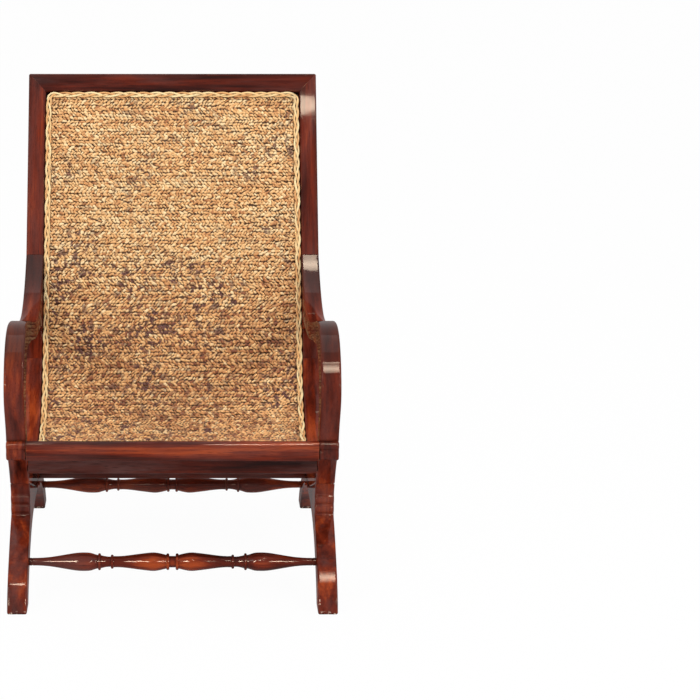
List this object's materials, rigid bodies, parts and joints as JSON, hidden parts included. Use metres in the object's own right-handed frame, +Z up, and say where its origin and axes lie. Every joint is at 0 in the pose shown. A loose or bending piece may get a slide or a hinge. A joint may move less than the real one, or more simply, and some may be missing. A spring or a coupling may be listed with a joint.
{
  "type": "planters chair",
  "caption": "Low reclining lounge chair with sawn hardwood side frames, scrolled arms, arched legs, turned stretchers and one sagging woven panel for seat and back.",
  "frame": {"origin": "on the floor, under the middle of the bounding box", "axes": "+Z up, -Y towards the front of the chair, +X to the viewer's right when facing it"},
  "size_m": [0.7, 1.0067, 1.0026],
  "materials": {
    "dark_lacquered_wood": "dark red mahogany under gloss lacquer",
    "dowel_wood": "plain beech, unfinished",
    "plaited_cane": "satin cane, plaited",
    "woven_strand": "dry twisted plant strand, mottled tan and brown",
    "screw_steel": "zinc plated"
  },
  "bodies": {
    "root": {"side_rail_left": "dark_lacquered_wood", "side_rail_right": "dark_lacquered_wood", "back_stile_left": "dark_lacquered_wood", "back_stile_right": "dark_lacquered_wood", "crest_rail": "dark_lacquered_wood", "front_seat_rail": "dark_lacquered_wood", "front_apron": "dark_lacquered_wood", "rear_cross_rail": "dark_lacquered_wood", "arm_left": "dark_lacquered_wood", "arm_right": "dark_lacquered_wood", "front_leg_left": "dark_lacquered_wood", "front_leg_right": "dark_lacquered_wood", "rear_leg_left": "dark_lacquered_wood", "rear_leg_right": "dark_lacquered_wood", "front_stretcher": "dark_lacquered_wood", "rear_stretcher": "dark_lacquered_wood", "panel_cleat_left": "dark_lacquered_wood", "panel_cleat_right": "dark_lacquered_wood", "panel_cleat_top": "dark_lacquered_wood", "panel_cleat_front": "dark_lacquered_wood", "corner_block_left": "dark_lacquered_wood", "corner_block_right": "dark_lacquered_wood", "stile_dowels": "dowel_wood", "arm_front_dowels": "dowel_wood", "arm_rear_dowels": "dowel_wood", "front_leg_dowels": "dowel_wood", "rear_leg_dowels": "dowel_wood", "leg_crown_dowels": "dowel_wood", "front_rail_dowels": "dowel_wood", "apron_dowels": "dowel_wood", "cross_rail_dowels": "dowel_wood", "mitre_splines": "dowel_wood", "binding_left": "plaited_cane", "binding_right": "plaited_cane", "binding_top": "plaited_cane", "binding_front": "plaited_cane", "woven_panel": "woven_strand", "cleat_screws": "screw_steel"}
  },
  "joints": []
}
